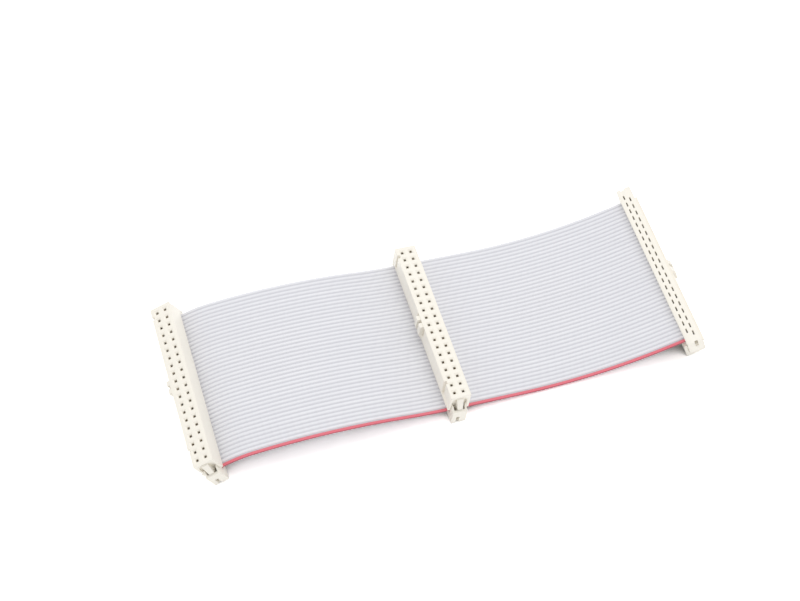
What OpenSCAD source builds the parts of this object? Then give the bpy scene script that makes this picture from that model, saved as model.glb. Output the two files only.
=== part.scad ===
// Ribbon cable: a flat ribbed cable with three in-line sockets pressed onto it.
// +X runs along the cable, +Y is the far side, +Z is up and the table is z = 0.
// The origin is the middle of the cable's footprint on the table.

/* [Cable] */
// Distance from one wire to the next
wire_pitch = 1.27; // [0.635:0.005:2.54]
// Number of wires, with the coloured edge wire
wire_count = 40; // [10:2:64]
// Half the thickness of the cable over its ribs
rib_h = 0.45; // [0.3:0.01:0.6]
// Half the thickness of the web between two ribs
web_h = 0.15; // [0.05:0.01:0.25]
// Half the flat crown of a rib
crown_w = 0.2; // [0.1:0.01:0.3]
// Half the width of one copper core
core_h = 0.16; // [0.08:0.01:0.2]
// How far the cable runs past the middle of each end socket
cable_tail = 2; // [1:0.1:6]

/* [Route] */
// Slope of the cable in the left socket
left_slope = 24.9; // [0:0.1:45]
// Slope where the cable's crest starts
crest_in = 5.3; // [0:0.1:30]
// Slope where the cable's crest ends
crest_out = -11.1; // [-30:0.1:0]
// Slope of the cable in the middle socket
mid_slope = -4.6; // [-20:0.1:20]
// Slope of the cable in the right socket
right_slope = 18.9; // [0:0.1:45]
// Bend radius beside the left socket
entry_r = 24; // [8:1:60]
// Bend radius of the crest
crest_r = 151; // [60:0.5:300]
// Bend radius of the rise to the right socket
rise_r = 118; // [60:0.5:300]
// Straight run on each side of a socket's middle
socket_run = 3.3; // [2:0.1:8]

/* [Socket housing] */
// Half the width of the housing, along the cable
body_x = 3.05; // [2.5:0.05:5]
// Half the length of the housing, across the cable
body_y = 25.9; // [20:0.1:40]
// Height of the hole face above the cable's middle plane
face_z = 7.8; // [6:0.1:12]
// Height of the step where the housing narrows
step_z = 1.5; // [1:0.1:4]
// Half the width of the housing below that step
foot_x = 2.25; // [1.8:0.05:3]
// Distance between the contacts of one row
pin_pitch = 2.54; // [2:0.01:5.08]
// Half the distance between the two rows
row_x = 1.27; // [1:0.01:2.54]
// Width of a square pin hole
hole_w = 0.76; // [0.7:0.01:1.2]
// Width of the hole's mouth in the face
mouth_w = 1.7; // [1.2:0.02:2.4]
// Depth of the mouth's slope
mouth_d = 0.32; // [0.2:0.02:1]

// Middle of the groove in the key wall near its far end
far_groove = 22.9; // [20:0.1:24]
// Middle of the groove in the key wall near its near end
near_groove = -20.6; // [-24:0.1:-18]
// Width of those grooves
groove_w = 1; // [0.4:0.1:1.2]
// Depth of those grooves
groove_d = 0.8; // [0.2:0.1:0.8]
// How far they run down from the hole face
groove_z = 5.5; // [2:0.1:6]
// How far the wall is set back from the near groove to the housing's end
relief_d = 0.3; // [0.1:0.05:0.6]
// Inner side of a contact's chamber, from the socket's middle
chamber_in = 0.56; // [0.5:0.01:0.6]
// Outer side of a contact's chamber
chamber_out = 1.96; // [1.95:0.01:2.1]
// Half the width of a contact's chamber
chamber_h = 0.65; // [0.62:0.01:1]
// Outer side of the room round a fork
fork_room = 0.93; // [0.9:0.01:1.1]
// Half the width of the room round a fork
fork_room_h = 0.6; // [0.59:0.01:0.62]
// Height of the room round a fork
fork_room_z = 1.2; // [1:0.05:1.3]
// Thickness of the wall between a chamber and the mouth of its hole
roof_t = 0.5; // [0.3:0.05:1]

/* [Key] */
// Height of the key above the housing's wall
key_x = 1; // [0.5:0.1:2]
// Width of one key rib
key_rib = 1.5; // [1:0.1:3]
// Width of the groove between the key ribs
key_gap = 1; // [0.5:0.1:3]
// Distance of the key's top below the hole face
key_top = 0.3; // [0:0.1:2]
// Distance of the key's foot below the hole face, where its slope to the wall starts
key_foot = 4.2; // [2:0.1:6]
// Middle of the key, off the socket's middle
key_y = 0.4; // [-2:0.1:2]
// Depth of the pockets in the wall beside and between the key ribs
key_pocket = 0.8; // [0.2:0.1:0.8]

/* [Latch] */
// Distance of the recess floor from the housing's middle
recess_y = 25.2; // [24.9:0.05:25.7]
// Half the width of the recess in the housing's end
recess_x = 2.2; // [1.5:0.05:2.6]
// Half the length of the housing's foot, beside the cable's edges
foot_y = 25.45; // [25.3:0.01:25.6]
// Distance of the recess top below the hole face
recess_top = 0.7; // [0.3:0.05:2]
// Half the width of the latch wedge at its top
wedge_x = 1; // [0.6:0.05:1.2]
// Half the width of the wedge at its catching edge
catch_x = 0.75; // [0.5:0.05:1.2]
// Reach of the wedge from the housing's middle
wedge_y = 27.3; // [26.5:0.1:28]
// Height of the wedge's catching edge above the cable
catch_z = 3.1; // [2.8:0.1:4]
// Height of the wedge at the recess floor
wedge_top = 6.9; // [5:0.1:7]
// Height of the wedge's brow, where it turns down to the catching edge
brow_z = 6.6; // [4:0.1:6.8]
// Reach of that brow from the housing's middle
brow_y = 26.2; // [25.5:0.1:26.5]
// Reach of the block under the catching edge
block_y = 26.4; // [26:0.1:26.6]
// Height of the recess floor above the step
recess_rise = 0.2; // [0.1:0.05:0.5]

/* [Cover] */
// Half the width of the cover
cover_x = 2.15; // [1.8:0.05:3]
// Height of the cover's back below the cable's middle plane
cover_back = 2.7; // [2.4:0.1:4]
// Reach of the cover's end loops from its middle
loop_y = 27.8; // [27:0.1:29]
// Start of the loops from the cover's middle
loop_in = 25.5; // [25.4:0.05:25.8]
// Inner side of the loop's front bar
loop_bar = 27.05; // [26.8:0.05:27.2]
// Half the width over the loop's two arms
arm_x = 2.1; // [1.8:0.05:2.15]
// Height of the arms at their inner end, above the cable's middle plane
arm_z = 3.5; // [3.2:0.1:4.5]
// Half the width of the window in the loop, at its bar
window_x = 1.5; // [1.2:0.05:1.6]
// How much wider the window is on each side, at its inner end
window_flare = 0.25; // [0:0.05:0.4]
// Clearance between the bar's top and the catching edge
catch_gap = 0.4; // [0.05:0.05:0.5]
// Middle of the notch in the cover's end
notch_x = 0.4; // [0:0.05:1]
// Width of that notch
notch_w = 0.95; // [0.4:0.05:1.2]
// Depth of that notch
notch_d = 0.5; // [0.2:0.1:1]
// Depth of the pocket behind the notch
pocket_d = 1.8; // [1:0.1:2]
// Wall left above and below that pocket
pocket_wall = 0.5; // [0.4:0.05:1]
// Length of one slot across the cover's back
slot_y = 1.44; // [1:0.02:1.6]
// Width of one slot
slot_x = 0.42; // [0.3:0.02:0.8]

/* [Contacts] */
// Thickness of the contact's sheet metal
sheet_t = 0.25; // [0.15:0.01:0.35]
// Distance of the fork's sheet from the socket's middle
fork_x = 0.62; // [0.4:0.01:0.9]
// Width of the contact's leaves
leaf_w = 1.2; // [0.8:0.05:1.3]
// Slot of the fork that holds the wire's core
fork_slot = 0.34; // [0.2:0.01:0.5]
// Width over the fork
fork_w = 1.16; // [0.8:0.02:1.2]
// Height of the fork's tips below the cable's middle plane
fork_tip = 1.9; // [1:0.1:2.7]
// Outer side of the outer leaf
leaf_x = 1.92; // [1.8:0.01:1.94]
// Height of the bridge that joins the two leaves
leaf_foot = 1.3; // [1:0.1:2]
// Height where the leaves start to lean together
bow_z = 4.4; // [3:0.1:5]
// Height where the leaves are closest
pinch_z = 5.7; // [5.2:0.1:6]
// Height of the leaves' tips
leaf_tip = 6.7; // [6.2:0.1:6.8]
// How far a leaf leans in where the leaves are closest
pinch_x = 0.13; // [0.05:0.01:0.2]
// How far a leaf leans in at its tip
tip_x = 0.02; // [0:0.01:0.1]
// Corner cut of the fork's tips
tine_w = 0.16; // [0.1:0.01:0.3]
// Rise of the fork's lead-in from its tips
tine_z = 0.3; // [0.2:0.05:0.5]
// Height of the fork's shoulder beside the bridge
shoulder_z = 1; // [0.8:0.05:1.2]

/* [Part] */
// One sub-part, or all of them

/* [Hidden] */
eps = 0.01;
pins = wire_count / 2;
// A fork stands over one of the two wires that share its contact's place in the row.
fork_y = wire_pitch / 2;
// Each socket's middle stands this high when its lowest edge is on the table.
left_z = cover_x * sin(left_slope) + cover_back * cos(left_slope);
mid_z = cover_x * sin(-mid_slope) + cover_back * cos(mid_slope);
right_z = body_x * sin(right_slope) + face_z * cos(right_slope);
// The run of an arc from slope a to slope b.
function arc_x(r, a, b) = sign(b - a) * r * (sin(b) - sin(a));
function arc_z(r, a, b) = sign(b - a) * r * (cos(a) - cos(b));
// The dip's radius brings the cable down to the middle socket's height.
drop_z = left_z - mid_z + socket_run * (sin(left_slope) + sin(mid_slope))
    + arc_z(entry_r, left_slope, crest_in) + arc_z(crest_r, crest_in, crest_out);
dip_r = drop_z / (cos(mid_slope) - cos(crest_out));
// The flat run after the middle socket ends where the rise has to start.
rise_z = mid_z - right_z + arc_z(rise_r, mid_slope, right_slope) + socket_run * sin(right_slope);
flat_run = rise_z / sin(-mid_slope);
left_dx = socket_run * (cos(left_slope) + cos(mid_slope)) + arc_x(entry_r, left_slope, crest_in)
    + arc_x(crest_r, crest_in, crest_out) + arc_x(dip_r, crest_out, mid_slope);
right_dx = flat_run * cos(mid_slope) + arc_x(rise_r, mid_slope, right_slope)
    + socket_run * cos(right_slope);
// The keys are the outermost points of both ends, and the origin is between them.
key_reach = body_x + key_x;
left_end = key_reach * cos(left_slope) + (face_z - key_top) * sin(left_slope);
right_end = key_reach * cos(right_slope) + (face_z - key_top) * sin(right_slope);
mid_x = (left_dx + left_end - right_dx - right_end) / 2;
left_x = mid_x - left_dx;
right_x = mid_x + right_dx;

// Steps of the cable's middle line: run in x, run in z, slope after the step.
function straight(l, a) = [[l * cos(a), l * sin(a), a]];
function bend(r, a, b, n) = [for (i = [1:n]) let (p = a + (b - a) * (i - 1) / n, q = a + (b - a) * i / n)
    [arc_x(r, p, q), arc_z(r, p, q), q]];
steps = concat(
    straight(cable_tail + socket_run, left_slope),
    bend(entry_r, left_slope, crest_in, 2),
    bend(crest_r, crest_in, crest_out, 4),
    bend(dip_r, crest_out, mid_slope, 1),
    straight(socket_run + flat_run, mid_slope),
    bend(rise_r, mid_slope, right_slope, 4),
    straight(socket_run + cable_tail, right_slope));
start = [left_x - cable_tail * cos(left_slope), left_z - cable_tail * sin(left_slope), left_slope];
function walk(i) = i == 0 ? start
    : let (p = walk(i - 1), s = steps[i - 1]) [p[0] + s[0], p[1] + s[1], s[2]];
stations = [for (i = [0:len(steps)]) walk(i)];
last = len(stations) - 1;
// A point of the cable: y across it, v above its middle plane.
function at(s, p) = [s[0] - p[1] * sin(s[2]), p[0], s[1] + p[1] * cos(s[2])];
function wire_y(i) = (i - (wire_count - 1) / 2) * wire_pitch;
function pin_y(k) = (k - (pins - 1) / 2) * pin_pitch;

// The web at a wire's low side, or the outer side of the first and last wire.
function side_y(i) = i == 0 ? wire_y(0) - rib_h
    : i == wire_count ? wire_y(wire_count - 1) + rib_h
    : wire_y(i) - wire_pitch / 2;
function side_v(i) = i == 0 || i == wire_count ? web_h + 0.05 : web_h;
// Ten points a wire: two at its side, four on its rib and four round its core.
function wire_points(i) = let (y = wire_y(i), s = side_y(i), v = side_v(i)) [
    [s, v], [s, -v],
    [y - crown_w, rib_h], [y + crown_w, rib_h],
    [y - crown_w, -rib_h], [y + crown_w, -rib_h],
    [y - core_h, core_h], [y + core_h, core_h], [y + core_h, -core_h], [y - core_h, -core_h]];
function band_points(a, b) = concat([for (i = [a:b]) each wire_points(i)],
    [[side_y(b + 1), side_v(b + 1)], [side_y(b + 1), -side_v(b + 1)]]);
// Two triangles between ring r and the next, along the edge from point p to point q.
function wall(n, r, p, q) = [[r * n + p, r * n + n + p, r * n + q],
    [r * n + q, r * n + n + p, r * n + n + q]];
function band_walls(n, r, b) = [
    each wall(n, r, b + 2, b), each wall(n, r, b + 3, b + 2), each wall(n, r, b + 10, b + 3),
    each wall(n, r, b + 1, b + 4), each wall(n, r, b + 4, b + 5), each wall(n, r, b + 5, b + 11),
    each wall(n, r, b + 6, b + 7), each wall(n, r, b + 7, b + 8),
    each wall(n, r, b + 8, b + 9), each wall(n, r, b + 9, b + 6)];
// The cut face of one wire, round its core.
function cut_face(b) = [
    [b, b + 1, b + 6], [b + 1, b + 9, b + 6], [b, b + 6, b + 2],
    [b + 2, b + 6, b + 3], [b + 3, b + 6, b + 7], [b + 3, b + 7, b + 10],
    [b + 10, b + 7, b + 11], [b + 11, b + 7, b + 8], [b + 11, b + 8, b + 5],
    [b + 5, b + 8, b + 4], [b + 4, b + 8, b + 9], [b + 4, b + 9, b + 1]];
function flip(f) = [f[0], f[2], f[1]];
function shift(f, n) = [f[0] + n, f[1] + n, f[2] + n];

// The insulation of the wires from a to b, as one swept solid.
module band(a, b) {
    count = b - a + 1;
    n = 10 * count + 2;
    ring = band_points(a, b);
    points = [for (s = stations) for (p = ring) at(s, p)];
    caps = [for (i = [0:count - 1]) each cut_face(10 * i)];
    faces = concat(
        [for (r = [0:last - 1]) for (i = [0:count - 1]) each band_walls(n, r, 10 * i)],
        [for (r = [0:last - 1]) each wall(n, r, 0, 1)],
        [for (r = [0:last - 1]) each wall(n, r, n - 1, n - 2)],
        caps,
        [for (f = caps) shift(flip(f), last * n)]);
    polyhedron(points = points, faces = faces, convexity = 10);
}

// One copper core, swept along the same middle line.
module core(i) {
    y = wire_y(i);
    ring = [[y - core_h, core_h], [y + core_h, core_h], [y + core_h, -core_h], [y - core_h, -core_h]];
    points = [for (s = stations) for (p = ring) at(s, p)];
    faces = concat(
        [for (r = [0:last - 1]) for (j = [0:3]) each wall(4, r, (j + 1) % 4, j)],
        [[0, 2, 1], [0, 3, 2]],
        [[last * 4, last * 4 + 1, last * 4 + 2], [last * 4, last * 4 + 2, last * 4 + 3]]);
    polyhedron(points = points, faces = faces, convexity = 4);
}

// A socket's own axes: x along the cable, y across it, z towards the hole face.
module left_place() {
    translate([left_x, 0, left_z]) rotate([0, -left_slope, 0]) children();
}
module middle_place() {
    translate([mid_x, 0, mid_z]) rotate([0, -mid_slope, 0]) children();
}
module right_place() {
    translate([right_x, 0, right_z]) rotate([0, 180 - right_slope, 0]) children();
}

// Four-sided mouths of the pin holes: long ridges crossed by short ones.
module mouths() {
    a = mouth_w / 2;
    b = hole_w / 2;
    intersection() {
        for (s = [-1, 1])
            translate([s * row_x, body_y, face_z]) rotate([90, 0, 0])
                linear_extrude(2 * body_y)
                    polygon([[-a, 0], [-b, -mouth_d], [b, -mouth_d], [a, 0]]);
        for (k = [0:pins - 1])
            translate([-body_x, pin_y(k), face_z]) rotate([90, 0, 90])
                linear_extrude(2 * body_x)
                    polygon([[-a, 0], [-b, -mouth_d], [b, -mouth_d], [a, 0]]);
    }
}

// One cell of row s: from a to b out from the socket's middle, h to each side of y.
module cell(s, a, b, y, h) {
    translate([s > 0 ? a : -b, y - h]) square([b - a, 2 * h]);
}

// Chambers that the contacts stand in, open to the cable, and the pin holes into them.
module chambers() {
    roof_z = face_z - mouth_d - roof_t;
    hole_h = hole_w / 2;
    for (k = [0:pins - 1]) for (s = [-1, 1]) {
        translate([0, 0, rib_h - eps]) linear_extrude(roof_z - rib_h)
            cell(s, chamber_in, chamber_out, pin_y(k), chamber_h);
        translate([0, 0, rib_h - eps]) linear_extrude(fork_room_z)
            cell(s, chamber_in, fork_room, pin_y(k) + s * fork_y, fork_room_h);
        translate([0, 0, roof_z - 0.1]) linear_extrude(roof_t + 0.2)
            cell(s, row_x - hole_h, row_x + hole_h, pin_y(k), hole_h);
    }
}

// Recess in the housing's end with an arched top, and the wedge that stands in it.
module end_recess() {
    foot = step_z + recess_rise;
    arch_z = face_z - recess_top - recess_x;
    translate([0, body_y + 1, 0]) rotate([90, 0, 0]) linear_extrude(body_y + 1 - recess_y) {
        translate([-recess_x, foot]) square([2 * recess_x, arch_z - foot]);
        translate([0, arch_z]) circle(recess_x, $fn = 96);
    }
    translate([-recess_x, foot_y, step_z - eps]) cube([2 * recess_x, 1, recess_rise + 2 * eps]);
}
module end_wedge() {
    y = recess_y - eps;
    foot = step_z + recess_rise;
    intersection() {
        translate([-wedge_x, 0, 0]) rotate([90, 0, 90]) linear_extrude(2 * wedge_x)
            polygon([[y, wedge_top], [brow_y, brow_z], [wedge_y, catch_z],
                [block_y, catch_z], [block_y, foot], [y, foot]]);
        translate([0, wedge_y + 1, 0]) rotate([90, 0, 0]) linear_extrude(wedge_y)
            polygon([[-wedge_x, face_z], [-catch_x, catch_z], [-catch_x, 0],
                [catch_x, 0], [catch_x, catch_z], [wedge_x, face_z]]);
    }
}

// One rib of the key: its foot slopes down to the wall's step.
module key() {
    wall_x = eps - body_x;
    translate([0, key_rib / 2, 0]) rotate([90, 0, 0]) linear_extrude(key_rib)
        polygon([[wall_x, step_z + eps], [-key_reach, face_z - key_foot],
            [-key_reach, face_z - key_top], [wall_x, face_z - key_top]]);
}

// The key wall's set-back, from y = a to y = b.
module relief(a, b) {
    translate([-body_x - eps, a, face_z - groove_z]) cube([relief_d + eps, b - a, groove_z + eps]);
}

// Pockets in the key wall: one between the ribs and one on each side of them.
module key_pockets() {
    for (s = [-1, 0, 1])
        translate([-body_x - eps, key_y + s * (key_gap + key_rib) - key_gap / 2, face_z - key_foot])
            cube([key_pocket + eps, key_gap, key_foot - key_top]);
}

module housing() {
    difference() {
        union() {
            translate([-body_x, -body_y, step_z]) cube([2 * body_x, 2 * body_y, face_z - step_z]);
            translate([-foot_x, -foot_y, rib_h]) cube([2 * foot_x, 2 * foot_y, step_z - rib_h + eps]);
            for (s = [-1, 1])
                translate([0, key_y + s * (key_gap + key_rib) / 2, 0]) key();
        }
        mouths();
        chambers();
        end_recess();
        mirror([0, 1, 0]) end_recess();
        for (y = [near_groove, far_groove])
            translate([-body_x - eps, y - groove_w / 2, face_z - groove_z])
                cube([groove_d + eps, groove_w, groove_z + eps]);
        key_pockets();
        relief(-body_y - eps, near_groove - groove_w / 2 + eps);
    }
    end_wedge();
    mirror([0, 1, 0]) end_wedge();
}

// A loop that rises at the cover's end and catches on the housing's wedge.
module end_loop() {
    low = catch_z - catch_gap;
    difference() {
        translate([-arm_x, 0, 0]) rotate([90, 0, 90]) linear_extrude(2 * arm_x)
            polygon([[loop_in, -rib_h - eps], [loop_in, arm_z], [loop_in + 0.5, arm_z],
                [loop_bar, low], [loop_y, low], [loop_y, -rib_h - eps]]);
        linear_extrude(arm_z + eps)
            polygon([[-window_x - window_flare, loop_in - eps], [window_x + window_flare, loop_in - eps],
                [window_x, loop_bar], [-window_x, loop_bar]]);
    }
}

// A notch in the cover's end, open to its back, with a deeper pocket behind it.
module end_notch() {
    translate([notch_x - notch_w / 2, loop_y - notch_d, -cover_back - eps])
        cube([notch_w, notch_d + eps, cover_back + 0.1 + eps]);
    translate([notch_x - notch_w / 2, loop_y - pocket_d, -cover_back + pocket_wall])
        cube([notch_w, pocket_d, cover_back - 2 * pocket_wall]);
}

module cover() {
    difference() {
        union() {
            translate([0, 0, -cover_back]) linear_extrude(cover_back - rib_h) difference() {
                square([2 * cover_x, 2 * loop_y], center = true);
                for (k = [0:pins - 1]) for (s = [-1, 1])
                    translate([s * (fork_x + sheet_t / 2), pin_y(k) + s * fork_y])
                        square([slot_x, slot_y], center = true);
            }
            end_loop();
            mirror([0, 1, 0]) end_loop();
        }
        end_notch();
        rotate([0, 0, 180]) end_notch();
    }
}

// One stamped contact: two spring leaves round the pin, and a fork that grips its wire.
module contact(s) {
    t = sheet_t;
    in = fork_x;
    out = leaf_x;
    w = leaf_w / 2;
    f = fork_w / 2;
    c = fork_slot / 2;
    tip = -fork_tip;
    mirror([s > 0 ? 0 : 1, 0, 0]) {
        translate([0, w, 0]) rotate([90, 0, 0]) linear_extrude(leaf_w)
            polygon([[in, leaf_foot], [out, leaf_foot], [out, bow_z], [out - pinch_x, pinch_z],
                [out - tip_x, leaf_tip], [out - tip_x - t, leaf_tip],
                [out - pinch_x - t, pinch_z], [out - t, bow_z], [out - t, leaf_foot + t],
                [in + t, leaf_foot + t], [in + t, bow_z], [in + pinch_x + t, pinch_z],
                [in + tip_x + t, leaf_tip], [in + tip_x, leaf_tip],
                [in + pinch_x, pinch_z], [in, bow_z]]);
        translate([in, 0, 0]) rotate([90, 0, 90]) linear_extrude(t)
            polygon([[-s * w, leaf_foot + t], [-s * w, shoulder_z], [s * (fork_y - f), shoulder_z - 0.2],
                [s * (fork_y - f), tip + tine_z], [s * (fork_y - f + tine_w), tip],
                [s * (fork_y - c), tip + tine_z], [s * (fork_y - c), tine_z],
                [s * (fork_y + c), tine_z], [s * (fork_y + c), tip + tine_z],
                [s * (fork_y + f - tine_w), tip], [s * (fork_y + f), tip + tine_z],
                [s * (fork_y + f), leaf_foot + t]]);
    }
}
module contacts(s) {
    for (k = [0:pins - 1])
        translate([0, pin_y(k), 0]) contact(s);
}

module left_housing() { color([0.93, 0.91, 0.86]) left_place() housing(); }
module left_cover() { color([0.93, 0.91, 0.86]) left_place() cover(); }
module left_odd_contacts() { color([0.78, 0.62, 0.38]) left_place() contacts(-1); }
module left_even_contacts() { color([0.78, 0.62, 0.38]) left_place() contacts(1); }
module middle_housing() { color([0.93, 0.91, 0.86]) middle_place() housing(); }
module middle_cover() { color([0.93, 0.91, 0.86]) middle_place() cover(); }
module middle_odd_contacts() { color([0.78, 0.62, 0.38]) middle_place() contacts(-1); }
module middle_even_contacts() { color([0.78, 0.62, 0.38]) middle_place() contacts(1); }
module right_housing() { color([0.93, 0.91, 0.86]) right_place() housing(); }
module right_cover() { color([0.93, 0.91, 0.86]) right_place() cover(); }
module right_odd_contacts() { color([0.78, 0.62, 0.38]) right_place() contacts(-1); }
module right_even_contacts() { color([0.78, 0.62, 0.38]) right_place() contacts(1); }
module ribbon_insulation() { color([0.78, 0.77, 0.82]) band(1, wire_count - 1); }
module edge_wire_insulation() { color([0.75, 0.12, 0.15]) band(0, 0); }
module wire_cores() {
    color([0.85, 0.82, 0.78])
        for (i = [0:wire_count - 1])
            core(i);
}

left_housing();
left_cover();
left_odd_contacts();
left_even_contacts();
middle_housing();
middle_cover();
middle_odd_contacts();
middle_even_contacts();
right_housing();
right_cover();
right_odd_contacts();
right_even_contacts();
ribbon_insulation();
edge_wire_insulation();
wire_cores();
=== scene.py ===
import math
import bmesh
import bpy
import numpy as np
from mathutils import Matrix, Vector


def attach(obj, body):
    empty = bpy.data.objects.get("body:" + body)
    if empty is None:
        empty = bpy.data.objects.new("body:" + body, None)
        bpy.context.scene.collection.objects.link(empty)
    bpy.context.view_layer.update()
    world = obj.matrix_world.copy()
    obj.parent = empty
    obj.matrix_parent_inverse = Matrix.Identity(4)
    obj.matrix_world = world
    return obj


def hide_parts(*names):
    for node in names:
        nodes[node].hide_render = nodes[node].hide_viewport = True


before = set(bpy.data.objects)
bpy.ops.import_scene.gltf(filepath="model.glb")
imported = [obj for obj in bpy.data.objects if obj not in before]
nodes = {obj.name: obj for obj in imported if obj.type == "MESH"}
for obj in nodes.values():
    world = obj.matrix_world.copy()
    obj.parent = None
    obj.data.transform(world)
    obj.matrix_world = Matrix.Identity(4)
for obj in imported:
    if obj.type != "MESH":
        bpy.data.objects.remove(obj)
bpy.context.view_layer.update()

mm = 0.001
print("frame loaded:", len(nodes), "nodes")


class Tap:
    # a value socket that takes part in Python sums; every operator adds one Math node
    def __init__(self, board, socket):
        self.board, self.socket = board, socket

    def sum(self, operation, *parts):
        return self.board.node("ShaderNodeMath", {"operation": operation}, dict(enumerate(parts)))[0]

    def __add__(self, other): return self.sum("ADD", self, other)
    def __radd__(self, other): return self.sum("ADD", other, self)
    def __sub__(self, other): return self.sum("SUBTRACT", self, other)
    def __rsub__(self, other): return self.sum("SUBTRACT", other, self)
    def __mul__(self, other): return self.sum("MULTIPLY", self, other)
    def __rmul__(self, other): return self.sum("MULTIPLY", other, self)
    def __truediv__(self, other): return self.sum("DIVIDE", self, other)
    def __rtruediv__(self, other): return self.sum("DIVIDE", other, self)
    def __abs__(self): return self.sum("ABSOLUTE", self)
    def floor(self): return self.sum("FLOOR", self)
    def most(self, other): return self.sum("MAXIMUM", self, other)

    def span(self, low, high, soft=True):
        # low..high becomes 0..1, clamped, with an S curve where soft
        kind = "SMOOTHSTEP" if soft else "LINEAR"
        return self.board.node("ShaderNodeMapRange", {"interpolation_type": kind},
                               {0: self, 1: low, 2: high})[0]


class Board:
    # the node tree of one material or world, and the one method that puts a node on it
    def __init__(self, owner, output="ShaderNodeOutputMaterial"):
        self.owner = owner
        owner.use_nodes = True
        self.tree = owner.node_tree
        self.tree.nodes.clear()
        self.output = self.tree.nodes.new(output)

    def node(self, kind, settings=None, values=None):
        made = self.tree.nodes.new(kind)
        for key, value in (settings or {}).items():
            setattr(made, key, value)
        for key, value in (values or {}).items():
            socket = made.inputs[key]
            if isinstance(value, Tap):
                self.tree.links.new(value.socket, socket)
            else:
                socket.default_value = value
        return [Tap(self, socket) for socket in made.outputs]

    def place(self, turn=(0, 0, 0), scale=(1, 1, 1)):
        # object coordinates, turned or stretched for a pattern
        spot = self.node("ShaderNodeTexCoord")[3]
        return self.node("ShaderNodeMapping", {"vector_type": "POINT"},
                         {"Vector": spot, "Rotation": turn, "Scale": scale})[0]

    def noise(self, spot, scale, detail=2.0, rough=0.5, warp=0.0):
        return self.node("ShaderNodeTexNoise", {"noise_dimensions": "3D"},
                         {"Vector": spot, "Scale": scale, "Detail": detail,
                          "Roughness": rough, "Distortion": warp})[0]

    def blend(self, share, first, second):
        return self.node("ShaderNodeMix", {"data_type": "RGBA"}, {0: share, 6: first, 7: second})[2]

    def bump(self, height, strength, depth):
        return self.node("ShaderNodeBump", {}, {"Strength": strength, "Distance": depth, "Height": height})[0]

    def finish(self, shader):
        self.tree.links.new(shader.socket, self.output.inputs["Surface"])
        return self.owner

    def surface(self, **values):
        named = {key.replace("_", " "): value for key, value in values.items()}
        return self.finish(self.node("ShaderNodeBsdfPrincipled", {}, named)[0])


view = {
    "spot": (-92.44, -229.68, 403.59),   # mm
    "along": (0.1836, 0.5098, -0.8405),  # the way it looks
    "right": (0.9548, -0.2959, 0.0291),
    "lens": 74.23,                       # mm
    "sensor": 36.0,                      # mm
    "sees": (0.01, 20.0),                # nearest and farthest, m
}


def placeCamera():
    along = Vector(view["along"]).normalized()
    right = Vector(view["right"])
    right = (right - along * right.dot(along)).normalized()
    up = right.cross(along)
    data = bpy.data.cameras.new("deskCamera")
    data.sensor_width, data.lens = view["sensor"], view["lens"]
    data.clip_start, data.clip_end = view["sees"]
    camera = bpy.data.objects.new("deskCamera", data)
    camera.matrix_world = Matrix.Translation(Vector(view["spot"]) * mm) @ Matrix((
        (right.x, up.x, -along.x), (right.y, up.y, -along.y), (right.z, up.z, -along.z))).to_4x4()
    bpy.context.scene.collection.objects.link(camera)
    bpy.context.scene.camera = camera


placeCamera()
print("camera placed")


cable = {
    "pitch": 1.27, "wires": 40,        # lengths in mm, slopes in degrees
    "rib": 0.45, "web": 0.15,          # half the thickness over a rib and between two ribs
    "bore": 0.2, "core": 0.19,         # radius of the hole in the insulation and of the core in it
    "boreSides": 10,
    "twist": 11.0,                     # length of one turn of a core's strands
    "tail": 2.0, "socketRun": 3.3,
    "leftSlope": 24.9, "crestIn": 5.3, "crestOut": -11.1, "midSlope": -4.6, "rightSlope": 18.9,
    "entryBend": 24.0, "crestBend": 151.0, "riseBend": 118.0,
    "coverX": 2.15, "coverBack": 2.7, "bodyX": 3.05, "faceZ": 7.8, "keyReach": 4.05, "keyTop": 0.3,
    "steps": {"entry": 6, "crest": 22, "dip": 5, "rise": 20, "line": 4},
}


def sine(a): return np.sin(np.radians(a))
def cosine(a): return np.cos(np.radians(a))


def arcRun(radius, a, b):
    # an arc from slope a to slope b runs r(sin b - sin a) in x and r(cos a - cos b) in z
    side = math.copysign(radius, b - a)
    return side * (sine(b) - sine(a)), side * (cosine(a) - cosine(b))


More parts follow.
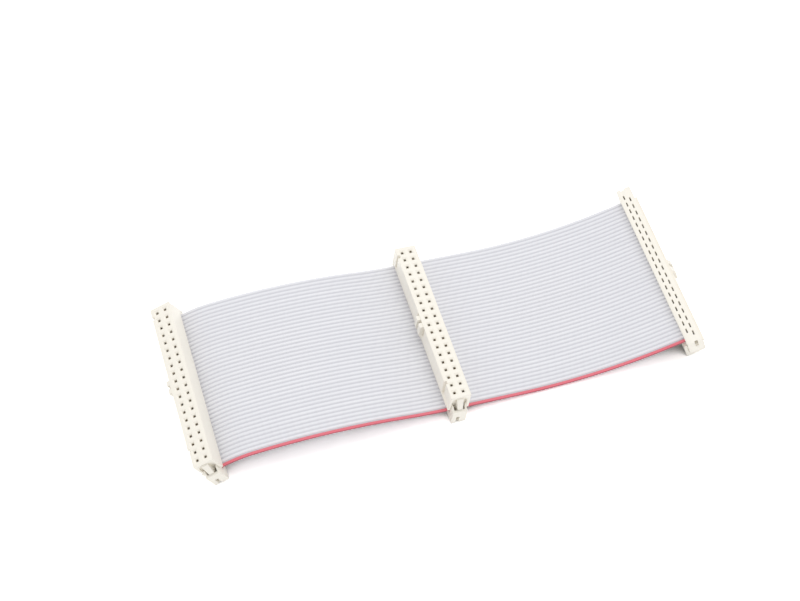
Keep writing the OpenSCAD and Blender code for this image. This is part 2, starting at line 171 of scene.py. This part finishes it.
def routePlan():
    # each socket stands with its lowest edge on the table,
    # and the dip's radius and the flat run are solved for that
    c, steps = cable, cable["steps"]
    leftZ = c["coverX"] * sine(c["leftSlope"]) + c["coverBack"] * cosine(c["leftSlope"])
    midZ = c["coverX"] * sine(-c["midSlope"]) + c["coverBack"] * cosine(c["midSlope"])
    rightZ = c["bodyX"] * sine(c["rightSlope"]) + c["faceZ"] * cosine(c["rightSlope"])
    entry = arcRun(c["entryBend"], c["leftSlope"], c["crestIn"])
    crest = arcRun(c["crestBend"], c["crestIn"], c["crestOut"])
    rise = arcRun(c["riseBend"], c["midSlope"], c["rightSlope"])
    drop = leftZ - midZ + c["socketRun"] * (sine(c["leftSlope"]) + sine(c["midSlope"])) + entry[1] + crest[1]
    dipBend = drop / (cosine(c["midSlope"]) - cosine(c["crestOut"]))
    dip = arcRun(dipBend, c["crestOut"], c["midSlope"])
    flatRun = (midZ - rightZ + rise[1] + c["socketRun"] * sine(c["rightSlope"])) / sine(-c["midSlope"])
    leftRun = (c["socketRun"] * (cosine(c["leftSlope"]) + cosine(c["midSlope"]))
               + entry[0] + crest[0] + dip[0])
    rightRun = flatRun * cosine(c["midSlope"]) + rise[0] + c["socketRun"] * cosine(c["rightSlope"])
    leftEnd = c["keyReach"] * cosine(c["leftSlope"]) + (c["faceZ"] - c["keyTop"]) * sine(c["leftSlope"])
    rightEnd = c["keyReach"] * cosine(c["rightSlope"]) + (c["faceZ"] - c["keyTop"]) * sine(c["rightSlope"])
    midX = (leftRun + leftEnd - rightRun - rightEnd) / 2
    # radius or None for a straight, length or first slope, last slope, steps
    runs = [(None, c["tail"] + c["socketRun"], c["leftSlope"], steps["line"]),
            (c["entryBend"], c["leftSlope"], c["crestIn"], steps["entry"]),
            (c["crestBend"], c["crestIn"], c["crestOut"], steps["crest"]),
            (dipBend, c["crestOut"], c["midSlope"], steps["dip"]),
            (None, c["socketRun"] + flatRun, c["midSlope"], steps["line"]),
            (c["riseBend"], c["midSlope"], c["rightSlope"], steps["rise"]),
            (None, c["socketRun"] + c["tail"], c["rightSlope"], steps["line"])]
    start = (midX - leftRun - c["tail"] * cosine(c["leftSlope"]), leftZ - c["tail"] * sine(c["leftSlope"]))
    sockets = {"left": (midX - leftRun, leftZ, -c["leftSlope"]),
               "middle": (midX, midZ, -c["midSlope"]),
               "right": (midX + rightRun, rightZ, 180 - c["rightSlope"])}
    return start, runs, sockets


def routeStations(start, runs):
    # x, z, slope and distance of the middle line at every cross-section;
    # each run starts where the last ended
    x, z, slope, reach = [[np.array([first])] for first in (start[0], start[1], cable["leftSlope"], 0.0)]
    for radius, first, last, steps in runs:
        t = np.linspace(0, 1, steps + 1)[1:]
        if radius is None:
            dx, dz = first * t * cosine(last), first * t * sine(last)
            turn, far = np.full(steps, last), first * t
        else:
            turn = first + (last - first) * t
            side = math.copysign(radius, last - first)
            dx, dz = side * (sine(turn) - sine(first)), side * (cosine(first) - cosine(turn))
            far = radius * np.radians(abs(last - first)) * t
        x.append(x[-1][-1] + dx)
        z.append(z[-1][-1] + dz)
        slope.append(turn)
        reach.append(reach[-1][-1] + far)
    return [np.concatenate(part) for part in (x, z, slope, reach)]


start, runs, sockets = routePlan()
lineX, lineZ, lineSlope, lineReach = routeStations(start, runs)
wireY = (np.arange(cable["wires"]) - (cable["wires"] - 1) / 2) * cable["pitch"]
print("cable length in mm:", round(float(lineReach[-1]), 2))


def carry(across, above):
    # a cross-section carried along the line: x - above sin(slope), y = across, z + above cos(slope)
    place = np.empty((len(lineX), len(across), 3))
    place[..., 0] = lineX[:, None] - above * sine(lineSlope)[:, None]
    place[..., 1] = across
    place[..., 2] = lineZ[:, None] + above * cosine(lineSlope)[:, None]
    lay = np.empty_like(place)
    lay[..., 0], lay[..., 1], lay[..., 2] = lineReach[:, None], across, above
    return place.reshape(-1, 3) * mm, lay.reshape(-1, 3)


def walls(ringSize, first, second):
    # quads from each ring to the next, along the edges first -> second of the ring
    ring = np.arange(len(lineX) - 1)[:, None] * ringSize
    corners = [ring + first, ring + ringSize + first, ring + ringSize + second, ring + second]
    return np.stack(corners, -1).reshape(-1, 4)


def putPiece(name, points, faces, material, lay=None):
    # "lay" holds the distance along the cable, across it and above its middle, in mm
    mesh = bpy.data.meshes.new(name)
    mesh.from_pydata(points.tolist(), [], [face for block in faces for face in block.tolist()])
    mesh.polygons.foreach_set("use_smooth", np.full(len(mesh.polygons), True))
    if lay is not None:
        store = mesh.attributes.new("lay", "FLOAT_VECTOR", "POINT")
        store.data.foreach_set("vector", lay.astype(np.float32).ravel())
    mesh.materials.append(material)
    mesh.validate()
    piece = bpy.data.objects.new(name, mesh)
    bpy.context.scene.collection.objects.link(piece)
    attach(piece, "root")
    return piece


ribSteps = np.array([-0.635, -0.47, -0.40, -0.26, 0.0, 0.26, 0.40, 0.47])  # mm from a wire's middle
edgeSteps = np.array([0.449, 0.436, 0.39])                                # the cable's own rounded edges


def bandProfile(first, last):
    # ribs: height = the larger of the web and sqrt(rib^2 - offset^2);
    # the cable's own edges close on a half circle
    offset = np.tile(ribSteps, (last - first + 1, 1))
    nearEdge, farEdge = first == 0, last == cable["wires"] - 1
    if nearEdge:
        offset[0, :3] = -edgeSteps
    across = (wireY[first:last + 1, None] + offset).ravel()
    across = np.append(across, wireY[last] + (edgeSteps[0] if farEdge else cable["pitch"] / 2))
    if farEdge:
        across[-3:-1] = wireY[last] + edgeSteps[:0:-1]
    wire = np.clip(np.round((across - wireY[0]) / cable["pitch"]), first, last).astype(int)
    circle = np.sqrt(np.maximum(cable["rib"] ** 2 - (across - wireY[wire]) ** 2, 0))
    above = np.maximum(circle, cable["web"])
    if nearEdge:
        above[:3] = circle[:3]
    if farEdge:
        above[-3:] = circle[-3:]
    return across, above


def buildBand(name, first, last, material):
    # one ring holds the top line, the bottom line and a bore for each wire;
    # the cut ends go round the bores
    count, sides, perWire = last - first + 1, cable["boreSides"], len(ribSteps)
    half = sides // 2
    across, above = bandProfile(first, last)
    n = len(across)
    angle = (np.arange(half) + 0.5) * 360 / sides
    angle = np.radians(np.concatenate([180 - angle, 180 + angle]))   # the bore's upper half, then its lower
    boreY = (wireY[first:last + 1, None] + cable["bore"] * np.cos(angle)).ravel()
    boreV = np.tile(cable["bore"] * np.sin(angle), count)
    points, lay = carry(np.concatenate([across, across, boreY]), np.concatenate([above, -above, boreV]))
    ringSize = 2 * n + sides * count
    i = np.arange(n - 1)
    bore = 2 * n + sides * np.arange(count)[:, None]
    loop = np.concatenate([[0], np.arange(half, sides), np.arange(half - 1, 0, -1)])
    faces = [walls(ringSize, i, i + 1), walls(ringSize, n + i + 1, n + i),
             walls(ringSize, np.array([n]), np.array([0])),
             walls(ringSize, np.array([n - 1]), np.array([2 * n - 1])),
             walls(ringSize, (bore + loop).ravel(), (bore + np.roll(loop, -1)).ravel())]
    t = perWire * np.arange(count)[:, None] + 2 * np.arange(half - 1)
    h = bore + np.arange(half - 1)
    low = h + half
    tris = [(t, t + 1, h), (t + 1, h + 1, h), (t + 1, t + 2, h + 1),
            (n + t + 2, n + t + 1, low + 1), (n + t + 1, low, low + 1), (n + t + 1, n + t, low)]
    tris = np.concatenate([np.stack(np.broadcast_arrays(*tri), -1).reshape(-1, 3) for tri in tris])
    t, h = perWire * np.arange(count), bore.ravel()
    quads = np.concatenate([np.stack([n + t, t, h, h + half], -1),
                            np.stack([t + perWire, n + t + perWire, h + sides - 1, h + half - 1], -1)])
    end = (len(lineX) - 1) * ringSize
    faces += [tris, quads, tris[:, ::-1] + end, quads[:, ::-1] + end]
    return putPiece(name, points, faces, material, lay)


strands = {
    "sides": 12, "count": 6, "depth": 0.08,
    "tip": 0.05,                               # mm
    "copper": (0.62, 0.56, 0.50, 1), "tin": (0.78, 0.76, 0.73, 1),
    "patch": (2600.0, 2.0, 0.6), "patchFrom": (0.35, 0.7),
    "roughness": 0.30, "patchRough": 0.2,
}


def buildCores(material):
    # a core's radius = core (1 - depth + depth cos(count (angle - twist))), the twist growing along the cable
    sides, count = strands["sides"], cable["wires"]
    angle = np.arange(sides) * 2 * np.pi / sides
    twist = lineReach[:, None] / cable["twist"] * 2 * np.pi
    wave = np.cos(strands["count"] * (angle - twist))
    radius = cable["core"] * (1 - strands["depth"] + strands["depth"] * wave)
    v = np.tile(radius * np.sin(angle), (1, count))
    y = np.repeat(wireY, sides)[None, :] + np.tile(radius * np.cos(angle), (1, count))
    ringSize = sides * count
    slope = lineSlope[:, None]
    place = np.stack([lineX[:, None] - v * sine(slope), y, lineZ[:, None] + v * cosine(slope)], -1)
    tips = []
    for end, push in ((0, -strands["tip"]), (-1, strands["tip"])):
        out = np.array([cosine(lineSlope[end]), 0, sine(lineSlope[end])]) * push
        tips.append(np.stack([np.full(count, lineX[end]), wireY, np.full(count, lineZ[end])], -1) + out)
    points = np.concatenate([place.reshape(-1, 3), *tips]) * mm
    first = sides * np.arange(count)[:, None]
    here = (first + np.arange(sides)).ravel()
    there = (first + np.roll(np.arange(sides), -1)).ravel()
    tip = len(lineX) * ringSize + np.repeat(np.arange(count), sides)
    end = (len(lineX) - 1) * ringSize
    faces = [walls(ringSize, there, here), np.stack([tip, there, here], -1),
             np.stack([tip + count, here + end, there + end], -1)]
    return putPiece("wireCores", points, faces, material)


vinyl = {
    # light and dark span each vinyl's own random tone; groove is painted shade for the hollows between the
    # ribs
    "grey": {"light": (0.842, 0.845, 0.877, 1),
             "dark": (0.778, 0.781, 0.818, 1),
             "groove": (0.650, 0.650, 0.692, 1)},
    "red": {"light": (0.840, 0.212, 0.258, 1),
            "dark": (0.720, 0.135, 0.178, 1),
            "groove": (0.400, 0.045, 0.080, 1)},
    "grooveTo": (0.155, 0.28),  # mm above the middle, where the painted groove shade fades into the rib
    "redTo": 0.44,              # mm from the edge wire's middle, where its red stops
    "redFade": 0.06,            # mm over which it stops
    "wires": 0.35, "streaks": 0.6, "clouds": 0.6,   # how much each changes the shade
    "seed": (3.7, 11.0),        # sets each wire's own shade
    "streak": (7.0, 3.0, 0.6),  # scale, detail and roughness of each noise
    "fine": (22.0, 2.0, 0.55),
    "grain": (9.0, 3.0, 0.6),
    "cloud": 0.09,
    "drawn": 0.05,              # the streaks' scale along the cable, against across it
    "roughness": 0.42, "fineRough": 0.12, "cloudRough": 0.1,
    "fineRelief": 0.6, "grainRelief": 0.4,
    "relief": 0.35, "reliefDepth": 0.03,   # strength, and depth in mm
    "ior": 1.52, "specular": 0.45,
}


def ribbedVinyl(name, tone):
    # soft vinyl: each wire a touch different, faint drawn streaks along the cable, and painted shade
    # darkening the groove between the ribs
    b = Board(bpy.data.materials.new(name))
    lay = b.node("ShaderNodeAttribute", {"attribute_type": "GEOMETRY", "attribute_name": "lay"})[1]
    along, across, above = b.node("ShaderNodeSeparateXYZ", {}, {0: lay})
    wire = (across / cable["pitch"] + cable["wires"] / 2).floor()
    own = b.node("ShaderNodeTexWhiteNoise", {"noise_dimensions": "1D"},
                 {"W": wire * vinyl["seed"][0] + vinyl["seed"][1]})[0]
    drawn = b.node("ShaderNodeCombineXYZ", {}, {0: along * vinyl["drawn"], 1: across, 2: above})[0]
    streak = b.noise(drawn, *vinyl["streak"])
    cloud = b.noise(lay, vinyl["cloud"])
    shade = (0.5 + (own - 0.5) * vinyl["wires"] + (streak - 0.5) * vinyl["streaks"]
             + (cloud - 0.5) * vinyl["clouds"])
    colour = b.blend(shade.span(0.0, 1.0, soft=False), tone["dark"], tone["light"])
    # painted shade: the groove colour low on every rib, near the web and on the cable's outer edges, fading
    # into the rib's own colour higher up
    colour = b.blend(abs(above).span(*vinyl["grooveTo"]), tone["groove"], colour)
    if name == "redVinyl":
        # the red pigment stops short of the web, where it fades into the grey's painted groove shade
        stop = across - (float(wireY[0]) + vinyl["redTo"])
        colour = b.blend(stop.span(0.0, vinyl["redFade"]), colour, vinyl["grey"]["groove"])
    fine = b.noise(drawn, *vinyl["fine"])
    grain = b.noise(lay, *vinyl["grain"])
    rough = vinyl["roughness"] + (fine - 0.5) * vinyl["fineRough"] + (cloud - 0.5) * vinyl["cloudRough"]
    relief = fine * vinyl["fineRelief"] + grain * vinyl["grainRelief"]
    return b.surface(Base_Color=colour, Roughness=rough,
                     IOR=vinyl["ior"], Specular_IOR_Level=vinyl["specular"],
                     Normal=b.bump(relief, vinyl["relief"], vinyl["reliefDepth"] * mm))


plastic = {
    "light": (0.932, 0.896, 0.815, 1), "dark": (0.892, 0.851, 0.762, 1),
    "cloud": (90.0, 3.0, 0.55, 0.4),                 # scale, detail, roughness, distortion
    "speck": (1400.0, 2.0, 0.6),
    "flow": (420.0, 3.0, 0.5, 0.6),
    "texture": (5200.0, 2.0, 0.6),
    "flowStretch": (1.0, 0.18, 1.0),
    "clouds": 0.7, "specks": 0.25, "flows": 0.45,    # how much each changes the shade
    "roughness": 0.46, "flowRough": 0.16, "speckRough": 0.10,
    "textureRelief": 0.7, "speckRelief": 0.5,
    "relief": 0.22, "reliefDepth": 0.02,             # strength, and depth in mm
    "ior": 1.55,
    "weld": 0.002, "flatAngle": 0.5,                 # mm and degrees, for cleaning the copied mesh
    "edge": 0.09, "edgeSteps": 2, "edgeAngle": 32,   # mm and degrees, for the broken edges
}


def mouldedPlastic(name, turn):
    # moulded polyester: the mould's fine texture, slow flow clouds across the socket and a slight yellowing
    b = Board(bpy.data.materials.new(name))
    turned = (0, math.radians(turn), 0)
    spot = b.place(turned)
    cloud = b.noise(spot, *plastic["cloud"])
    speck = b.noise(spot, *plastic["speck"])
    flow = b.noise(b.place(turned, plastic["flowStretch"]), *plastic["flow"])
    shade = (0.5 + (cloud - 0.5) * plastic["clouds"] + (speck - 0.5) * plastic["specks"]
             + (flow - 0.5) * plastic["flows"])
    colour = b.blend(shade.span(0.0, 1.0, soft=False), plastic["dark"], plastic["light"])
    rough = (plastic["roughness"] + (flow - 0.5) * plastic["flowRough"]
             + (speck - 0.5) * plastic["speckRough"])
    texture = b.noise(spot, *plastic["texture"])
    relief = texture * plastic["textureRelief"] + speck * plastic["speckRelief"]
    return b.surface(Base_Color=colour, Roughness=rough, IOR=plastic["ior"],
                     Normal=b.bump(relief, plastic["relief"], plastic["reliefDepth"] * mm))


sheet = {
    "bronze": (0.55, 0.38, 0.24, 1), "rolled": (0.64, 0.47, 0.31, 1),
    "gold": (0.80, 0.62, 0.32, 1), "tin": (0.70, 0.69, 0.66, 1),
    "goldFrom": (3.6, 4.2), "tinBelow": (1.5, 0.9),     # mm above the cable's middle plane
    "wander": 900.0, "wanderBy": 0.5,                   # noise scale, and how far those edges stray, mm
    "rolling": (1100.0, 2.0, 0.6), "rollStretch": (1.0, 14.0, 1.0), "rollFrom": (0.3, 0.7),
    "roughness": 0.28, "tinRough": 0.14, "rollRough": 0.18,
    "relief": 0.2, "reliefDepth": 0.01,                 # strength, and depth in mm
}


def stampedSheet(name, turn, centre):
    # bronze sheet with rolling lines: a gold flash on the leaves and dull tin on the fork
    b = Board(bpy.data.materials.new(name))
    spot = b.node("ShaderNodeVectorMath", {"operation": "SUBTRACT"}, {0: b.place(), 1: centre})[0]
    spot = b.node("ShaderNodeVectorRotate", {"rotation_type": "Y_AXIS"},
                  {"Vector": spot, "Angle": -math.radians(turn)})[0]
    height = b.node("ShaderNodeSeparateXYZ", {}, {0: spot})[2] * 1000.0
    band = height + (b.noise(spot, sheet["wander"]) - 0.5) * sheet["wanderBy"]
    gold = band.span(*sheet["goldFrom"])
    tin = band.span(*sheet["tinBelow"])
    lines = b.noise(b.place(scale=sheet["rollStretch"]), *sheet["rolling"])
    colour = b.blend(lines.span(*sheet["rollFrom"]), sheet["bronze"], sheet["rolled"])
    colour = b.blend(tin, b.blend(gold, colour, sheet["gold"]), sheet["tin"])
    rough = sheet["roughness"] + tin * sheet["tinRough"] + (lines - 0.5) * sheet["rollRough"]
    return b.surface(Base_Color=colour, Roughness=rough, Metallic=1.0,
                     Normal=b.bump(lines, sheet["relief"], sheet["reliefDepth"] * mm))


def strandMetal():
    # tinned strands, the copper showing through in places
    b = Board(bpy.data.materials.new("tinnedStrands"))
    lines = b.noise(b.place(), *strands["patch"])
    colour = b.blend(lines.span(*strands["patchFrom"]), strands["copper"], strands["tin"])
    return b.surface(Base_Color=colour, Metallic=1.0,
                     Roughness=strands["roughness"] + lines * strands["patchRough"])


ribbon = buildBand("ribbonInsulation", 1, cable["wires"] - 1, ribbedVinyl("greyVinyl", vinyl["grey"]))
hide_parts("ribbon_insulation")
edgeWire = buildBand("edgeWireInsulation", 0, 0, ribbedVinyl("redVinyl", vinyl["red"]))
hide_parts("edge_wire_insulation")
cores = buildCores(strandMetal())
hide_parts("wire_cores")
print("cable built:", len(ribbon.data.polygons), "faces in the grey band")


def softened(nodeName, pieceName, material):
    # a merged copy of the node with its sharp moulded edges broken
    mesh = nodes[nodeName].data.copy()
    mesh.materials.clear()
    shape = bmesh.new()
    shape.from_mesh(mesh)
    bmesh.ops.remove_doubles(shape, verts=shape.verts, dist=plastic["weld"] * mm)
    bmesh.ops.dissolve_limit(shape, angle_limit=math.radians(plastic["flatAngle"]),
                             verts=shape.verts, edges=shape.edges)
    shape.to_mesh(mesh)
    shape.free()
    mesh.materials.append(material)
    mesh.polygons.foreach_set("use_smooth", np.full(len(mesh.polygons), True))
    piece = bpy.data.objects.new(pieceName, mesh)
    bpy.context.scene.collection.objects.link(piece)
    bevel = piece.modifiers.new("brokenEdges", "BEVEL")
    bevel.width, bevel.segments = plastic["edge"] * mm, plastic["edgeSteps"]
    bevel.limit_method, bevel.angle_limit = "ANGLE", math.radians(plastic["edgeAngle"])
    bevel.use_clamp_overlap, bevel.harden_normals = True, True
    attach(piece, "root")
    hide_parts(nodeName)


for side, (x, z, turn) in sockets.items():
    cream = mouldedPlastic(side + "Cream", -turn)
    metal = stampedSheet(side + "Sheet", turn, (x * mm, 0, z * mm))
    softened(side + "_housing", side + "Housing", cream)
    softened(side + "_cover", side + "Cover", cream)
    for row in ("odd", "even"):
        strip = nodes[side + "_" + row + "_contacts"]
        strip.data.materials.clear()
        strip.data.materials.append(metal)
print("sockets finished")


stage = {
    "sky": 0.90,                                            # strength of the even white light
    "lamp": {"spot": (0.15, 0.35, 0.9), "size": 0.9, "watts": 2.0},   # m and W
    "paper": ((0.955, 0.955, 0.958, 1), (0.965, 0.965, 0.967, 1)),
    "seenPaper": (1.60, 1.60, 1.60, 1),                     # the same paper as the camera sees it
    "cornerShade": (0.42, 0.41, 0.40, 1),                        # painted shade that the camera sees deep in the corners under the cable
    "cornerShadeTo": (0.12, 0.40), "cornerShadeReach": 0.025,         # open share of the space within this reach, m
    "cornerShadeSamples": 24,
    "grain": 60.0, "grainFrom": (0.3, 0.7),
    "half": 3.0,                                            # m
}


def layTable():
    # plain white paper; the corners under the cable keep their real shadow and, as the camera sees them, get
    # painted shade on top from an ambient occlusion mask
    b = Board(bpy.data.materials.new("tablePaper"))
    path = b.node("ShaderNodeLightPath")
    paper = b.blend(b.noise(b.place(), stage["grain"]).span(*stage["grainFrom"]), *stage["paper"])
    room = b.node("ShaderNodeAmbientOcclusion", {"samples": stage["cornerShadeSamples"]},
                  {"Distance": stage["cornerShadeReach"]})[1]
    # painted shade: where the occlusion finds little open space, the paper the camera sees turns to the dark
    # corner colour
    seen = b.blend(room.span(*stage["cornerShadeTo"]), stage["cornerShade"], stage["seenPaper"])
    seen = b.blend(path[0].most(path[3]).most(path[6]), paper, seen)   # camera, glossy and transmission rays
    b.finish(b.node("ShaderNodeBsdfDiffuse", {}, {"Color": seen})[0])
    half = stage["half"]
    mesh = bpy.data.meshes.new("table")
    corners = [(-half, -half, 0), (half, -half, 0), (half, half, 0), (-half, half, 0)]
    mesh.from_pydata(corners, [], [(0, 1, 2, 3)])
    mesh.materials.append(b.owner)
    table = bpy.data.objects.new("table", mesh)
    bpy.context.scene.collection.objects.link(table)


def lightStage():
    # an even sky that the camera and gloss see as plain white, and one soft lamp overhead
    bpy.context.scene.world = bpy.data.worlds.new("studio")
    b = Board(bpy.context.scene.world, "ShaderNodeOutputWorld")
    seen = b.node("ShaderNodeLightPath")
    sky = b.node("ShaderNodeBackground", {}, {"Color": (1, 1, 1, 1), "Strength": stage["sky"]})[0]
    white = b.node("ShaderNodeBackground", {}, {"Color": (1, 1, 1, 1), "Strength": 1.0})[0]
    shown = seen[0].most(seen[3]).most(seen[6])   # camera, glossy and transmission rays
    b.finish(b.node("ShaderNodeMixShader", {}, {0: shown, 1: sky, 2: white})[0])
    spot = Vector(stage["lamp"]["spot"])
    data = bpy.data.lights.new("overhead", "AREA")
    data.shape, data.size, data.energy = "DISK", stage["lamp"]["size"], stage["lamp"]["watts"]
    lamp = bpy.data.objects.new("overhead", data)
    lamp.location = spot
    lamp.rotation_euler = (-spot).to_track_quat("-Z", "Y").to_euler()
    bpy.context.scene.collection.objects.link(lamp)


layTable()
lightStage()
bpy.context.scene.view_settings.view_transform = "Standard"
print("stage and light set")
